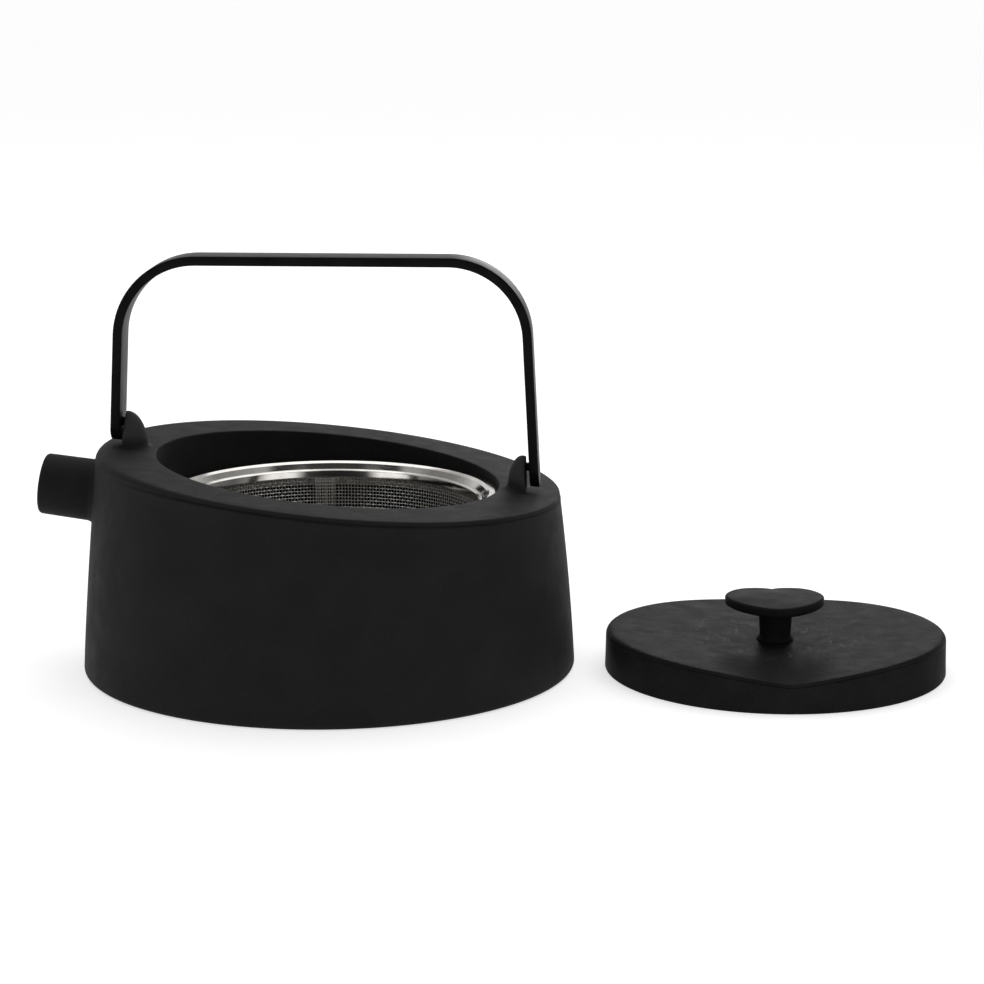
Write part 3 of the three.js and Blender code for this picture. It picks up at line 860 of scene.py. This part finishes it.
def build_strainer_metal():
    """The pressed rim, the band that clamps the mesh, and the ring at its foot."""
    rim = ring_profile("strainer_rim_pressed", rounded_loop([
        (56.5, 55.2, 0.3), (56.5, 60.4, 0.5), (57.4, 62.3, 0.5), (58.5, 63.2, 0.5), (60.6, 63.2, 0.15),
        (61.0, 62.9, 0.12), (61.0, 63.9, 0.12), (60.6, 64.0, 0.1), (58.7, 64.0, 0.5), (57.6, 63.2, 0.7),
        (56.3, 60.9, 0.4), (55.7, 60.5, 0.2), (55.7, 55.2, 0.3),
    ], 5), 360, 50)
    finish_piece(rim, "strainer", bright_steel, "polished_steel", "strainer_rim")
    band = ring_profile("strainer_clamp_band", rounded_loop([
        (54.4, 58.3, 0.15), (54.85, 60.3, 0.3), (55.3, 60.85, 0.2), (55.95, 61.05, 0.1),
        (55.95, 61.35, 0.12), (55.2, 61.3, 0.3), (54.6, 60.7, 0.4), (53.9, 58.4, 0.2),
    ], 4), 360, 60)
    finish_piece(band, "strainer", bright_steel, "polished_steel", "strainer_inner_band")
    ring = ring_profile("strainer_foot_ring", rounded_loop([
        (50.9, 13.6, 0.9), (53.2, 13.6, 0.9), (53.25, 16.4, 0.3),
        (52.6, 16.5, 0.2), (52.4, 15.9, 0.3), (50.8, 15.9, 0.4),
    ], 5), 240, 60)
    finish_piece(ring, "strainer", bright_steel, "polished_steel", "strainer_bottom_ring")


build_basket_wall()
build_seam()
build_basket_floor()
build_strainer_metal()

# ------------------------------------------------------------------ lid, knob, washer and screw

LID_THICK = 4
VALLEY, VALLEY_RISE, VALLEY_BEND = 10.6, 0.156, 0.00099  # its height, and how the top climbs to both sides
VALLEY_FRONT, VALLEY_BACK = 2, 25  # how soft its line is at the front and at the back
LID_LINE = ((0.8, 0), (0.65, 0.26), (0.3, 0.28), (0.12, 0))  # a groove under the edge, as (mm down, mm deep)


def lid_height(x, y):
    """Height of the lid's top, which falls to a valley from front to back."""
    soft = VALLEY_FRONT + (VALLEY_BACK - VALLEY_FRONT) * (y + LID_RADIUS) / (2 * LID_RADIUS)
    return VALLEY + VALLEY_RISE * (math.hypot(x, soft) - soft) - VALLEY_BEND * x * x


def lid_outline(angle):
    """Half the lid's section at one azimuth, from under the middle round to the top of the middle."""
    c, s = math.cos(angle), math.sin(angle)
    inner = 57.1
    shoulder = 0.7 + 1.5 * c**4  # the top edge is softer to the left and right, where the groove fades out

    def top(r):
        return lid_height(r * c, r * s)

    edge_z = top(LID_RADIUS)
    return rounded([
        *[(r, top(r) - LID_THICK, 0) for r in np.linspace(0, 55.5, 24)],
        (inner, top(inner) - LID_THICK, 1.4),
        (inner - 0.1, 0, 0.5),
        (LID_RADIUS + 0.3, 0, 0.8),
        (LID_RADIUS + 0.15, 4, 0),
        *[(LID_RADIUS - deep * (1 - c**4), edge_z - shoulder - down, 0) for down, deep in LID_LINE],
        (LID_RADIUS, edge_z, shoulder),
        *[(r, top(r), 0) for r in np.linspace(58.2, 0, 30)],
    ], 6)


def place_lid(obj):
    """Turns a piece made round the Z axis and moves it to where the lid lies."""
    turn = Matrix.Rotation(LID_TURN, 4, "Z")
    obj.data.transform(Matrix.Translation((LID_X * MM, LID_Y * MM, 0)) @ turn)


def build_lid():
    count = 288
    cap = closed_profile("lid_cap", [lid_outline(k * TAU / count) for k in range(count)])
    boolean(cap, straight_tube("hole", (0, 0, -2), (0, 0, 30), 4.1), "DIFFERENCE")
    shade(cap.data, 35)
    place_lid(cap)
    finish_piece(cap, "lid", lid_iron, "lid_iron", "lid_plate")


def curve(a, b, c, d, count):
    """Points along a cubic curve, without its last point."""
    points = []
    for t in np.linspace(0, 1, count)[:-1]:
        weights = ((1 - t) ** 3, 3 * t * (1 - t) ** 2, 3 * t * t * (1 - t), t**3)
        points.append(sum(np.array(p) * weight for p, weight in zip((a, b, c, d), weights)))
    return points


def heart_points():
    """The knob's outline seen from above, its point towards -Y, anticlockwise."""
    half, lobe, notch, tip, count = 18.2, 16.9, 15.2, -16.7, 28
    crest, flank = (half * 0.56, lobe * 0.97), (half * 0.98, lobe * 0.12)
    right = [
        *curve((0, notch), (half * 0.12, lobe * 1.02), (half * 0.4, lobe * 1.02), crest, count),
        *curve(crest, (half * 0.86, lobe * 0.86), (half * 1.05, lobe * 0.45), flank, count),
        *curve(flank, (half * 0.88, tip * 0.4), (half * 0.42, tip * 0.94), (0, tip), count),
        (0, tip),
    ]
    left = np.array(right[1:-1])[::-1] * [-1, 1]
    return np.vstack([right, left])[::-1]


def build_knob():
    """A heart-shaped plate with rounded edges on a short round stem."""
    top, under, top_edge, under_edge = 26.0, 22.4, 0.9, 1.3
    turns = [k / 6 * math.pi / 2 for k in range(7)]
    levels = [(under_edge * (1 - math.sin(t)), under + under_edge * (1 - math.cos(t))) for t in turns]
    levels += [(top_edge * (1 - math.cos(t)), top - top_edge * (1 - math.sin(t))) for t in turns]
    loop = heart_points()
    count = len(loop)
    points = np.vstack([
        np.column_stack([loop - outward(loop) * inward, np.full(count, z)]) for inward, z in levels
    ])
    faces = grid_faces(len(levels), count) + flat_caps(len(levels), count)
    plate = make("lid_knob_heart", points, faces, 40)
    stem = closed_profile("stem", [rounded([
        (0, 7, 0), (3.8, 7, 0.3), (3.8, 10.8, 0), (6.9, 10.8, 0.2), (6.7, 11.2, 0.1), (5.55, 12.4, 1.5),
        (6.1, 21.1, 0), (6.3, 22.6, 1.0), (7.2, 22.8, 0), (7.2, 24.5, 0), (0, 24.5, 0),
    ], 5)] * 72)
    fix_normals(plate)
    fix_normals(stem)
    boolean(plate, stem, "UNION")
    boolean(plate, straight_tube("hole", (0, 0, 5), (0, 0, 18), 2.3), "DIFFERENCE")
    shade(plate.data, 35)
    place_lid(plate)
    finish_piece(plate, "lid", lid_iron, "lid_iron", "lid_knob")


def block(name, half_x, half_y, low, high):
    """A plain box about the Z axis."""
    points = [(x, y, z) for x in (-half_x, half_x) for y in (-half_y, half_y) for z in (low, high)]
    faces = [(0, 1, 3, 2), (4, 6, 7, 5), (0, 4, 5, 1), (2, 3, 7, 6), (0, 2, 6, 4), (1, 5, 7, 3)]
    obj = make(name, points, faces, 0)
    fix_normals(obj)
    return obj


def build_fixing():
    """The washer and the cross-head screw that hold the knob from below."""
    top, thick = 6.3, 1.0
    washer = ring_profile("knob_washer_disc", rounded_loop([
        (2.3, top - thick, 0.15), (6.4, top - thick, 0.25), (6.4, top, 0.25), (2.3, top, 0.15),
    ], 3), 72)
    place_lid(washer)
    finish_piece(washer, "lid", plain_steel, "screw_steel", "knob_washer")
    seat = top - 1.3
    bottom, end = seat - 2.6, seat + 11
    screw = closed_profile("knob_screw_pan", [rounded([
        (0, bottom, 0), (2.6, bottom, 2.0), (4.4, bottom + 1.1, 0.8), (4.4, seat, 0.2),
        (2.0, seat, 0.1), (2.0, end, 0.4), (0, end, 0),
    ], 5)] * 72)
    long, narrow = 2.3, 0.45
    for half_x, half_y in ((long, narrow), (narrow, long)):
        boolean(screw, block("slot", half_x, half_y, bottom - 1, bottom + 1.3), "DIFFERENCE")
    shade(screw.data, 35)
    place_lid(screw)
    finish_piece(screw, "lid", plain_steel, "screw_steel", "knob_screw")


build_lid()
build_knob()
build_fixing()

# ------------------------------------------------------------------ floor, light and camera, in metres


def build_stage():
    size = 40.0
    corners = [(-size, -size, 0), (size, -size, 0), (size, size, 0), (-size, size, 0)]
    mesh = bpy.data.meshes.new("floor")
    mesh.from_pydata(corners, [], [(0, 1, 2, 3)])
    floor = bpy.data.objects.new("floor", mesh)
    bpy.context.scene.collection.objects.link(floor)
    paint = Paint("floor_paint")
    pale = paint.ramp(paint.noise(60, 2, 0.55), (0.3, 0.59), (0.7, 0.61))
    paint.surface("Base Color", pale)
    paint.surface("Roughness", 0.9)
    paint.surface("Specular IOR Level", 0.1)
    paint.surface("Emission Color", (1, 1, 1))  # a lit table, so shadows stay pale
    paint.surface("Emission Strength", 0.6)
    mesh.materials.append(paint.material)


def softbox(name, place, target, width, height, power):
    light = bpy.data.lights.new(name, "AREA")
    light.shape = "RECTANGLE"
    light.size, light.size_y = width, height
    light.energy = power
    obj = bpy.data.objects.new(name, light)
    bpy.context.scene.collection.objects.link(obj)
    obj.location = place
    obj.rotation_euler = (Vector(target) - Vector(place)).to_track_quat("-Z", "Y").to_euler()


def build_light():
    """A white room that is brightest overhead and behind the pot, and dim in front of it."""
    world = bpy.data.worlds.new("studio")
    world.use_nodes = True
    bpy.context.scene.world = world
    n = Nodes(world.node_tree)
    direction = n.axes(n.add("ShaderNodeTexCoord").outputs["Generated"])
    x, y, z = direction["X"], direction["Y"], direction["Z"]
    level = n.maths("SQRT", n.maths("ADD", n.maths("MULTIPLY", x, x), n.maths("MULTIPLY", y, y)))
    # Round the horizon, from straight behind the pot (0) to straight in front of it (1).
    bearing = n.maths("MULTIPLY_ADD", n.maths("DIVIDE", y, level), -0.5, 0.5)
    wall = n.ramp(
        bearing, (0.0, 0.95), (0.15, 0.8), (0.34, 0.25), (0.52, 0.16),
        (0.68, 0.4), (0.79, 1.5), (0.915, 1.5), (0.955, 0.05), (1.0, 0.02),
    )
    horizon = n.maths("MULTIPLY", wall, n.span(z, 0.4, 0.72, 1.0, 0.15))
    overhead = n.maths("MULTIPLY", n.span(z, 0.35, 0.95, 0.0, 0.8), n.span(bearing, 0.68, 0.92, 1.0, 0.1))
    background = n.tree.nodes["Background"].inputs
    n.put(n.maths("ADD", horizon, overhead), background["Strength"])
    n.put((1, 1, 1), background["Color"])
    softbox("top", place=(0.1, 0.45, 1.5), target=(0.05, 0, 0.05), width=2.0, height=1.6, power=11)
    softbox("behind", place=(0.32, 1.5, 0.4), target=(0.1, 0, 0.1), width=0.6, height=0.24, power=2)


def build_camera():
    down, turn = math.radians(11.649), math.radians(3.2)
    camera = bpy.data.cameras.new("camera")
    camera.sensor_width = 36
    camera.lens = 99.055
    camera.clip_start, camera.clip_end = 0.05, 50
    obj = bpy.data.objects.new("camera", camera)
    bpy.context.scene.collection.objects.link(obj)
    obj.location = (0.113465, -0.961976, 0.262999)
    obj.rotation_euler = (math.pi / 2 - down, 0, turn)
    bpy.context.scene.camera = obj


build_stage()
build_light()
build_camera()
bpy.context.scene.view_settings.view_transform = "Standard"

bpy.context.view_layer.update()
